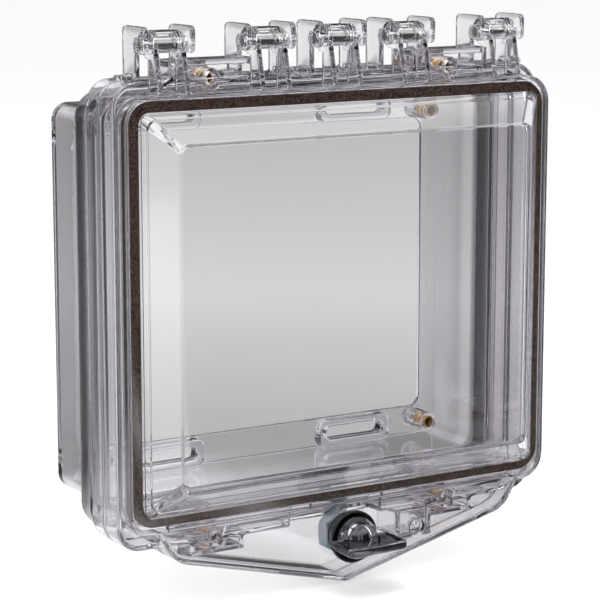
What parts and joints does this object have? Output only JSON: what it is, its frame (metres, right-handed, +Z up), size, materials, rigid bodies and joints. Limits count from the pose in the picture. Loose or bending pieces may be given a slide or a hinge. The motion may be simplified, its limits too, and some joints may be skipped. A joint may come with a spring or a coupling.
{
  "type": "thermostat lock box",
  "caption": "Clear wall-mounted guard box with a flip-up window door on top hinges, a gasket and a thumb-turn cam lock, made to cover a thermostat.",
  "frame": {"origin": "centre of the four wall slots, on the wall plane", "axes": "+Z up, -Y out of the wall towards the front, +X to the right seen from the front"},
  "size_m": [0.255, 0.128, 0.2914],
  "materials": {
    "clear_shell": "clear moulded polycarbonate, glossy",
    "gasket": "dark speckled foam rubber",
    "brass_insert": "turned and knurled",
    "steel_hardware": "plain bright steel",
    "zinc_plate": "bluish zinc plating",
    "black_collar": "black, smooth",
    "dark_chrome": "dark polished chrome"
  },
  "bodies": {
    "housing": {"back_box": "clear_shell", "device_inserts": "brass_insert", "spacer_ring": "clear_shell", "hinge_frame": "clear_shell", "seal_boss": "clear_shell", "frame_inserts": "brass_insert", "frame_screws": "steel_hardware", "screw_washers": "steel_hardware", "hinge_pin_1": "steel_hardware", "hinge_pin_2": "steel_hardware", "hinge_pin_3": "steel_hardware", "hinge_pin_4": "steel_hardware", "hinge_pin_5": "steel_hardware"},
    "door": {"door_cover": "clear_shell", "door_gasket": "gasket", "lock_collar": "black_collar", "lock_body": "zinc_plate", "lock_nut": "zinc_plate", "lock_washer": "zinc_plate"},
    "thumb_turn": {"thumb_knob": "dark_chrome", "lock_spindle": "steel_hardware", "lock_cam": "steel_hardware", "cam_washer": "steel_hardware", "cam_screw": "steel_hardware"}
  },
  "joints": [
    {"name": "door_hinge", "type": "hinge", "parent": "housing", "child": "door", "pos_m": [0, -0.084, 0.1357], "axis": [-1, 0, 0], "range_deg": [0, 180]},
    {"name": "thumb_turn", "type": "hinge", "parent": "door", "child": "thumb_turn", "pos_m": [0, -0.096, -0.121], "axis": [0, 1, 0], "range_deg": [0, 90]}
  ]
}
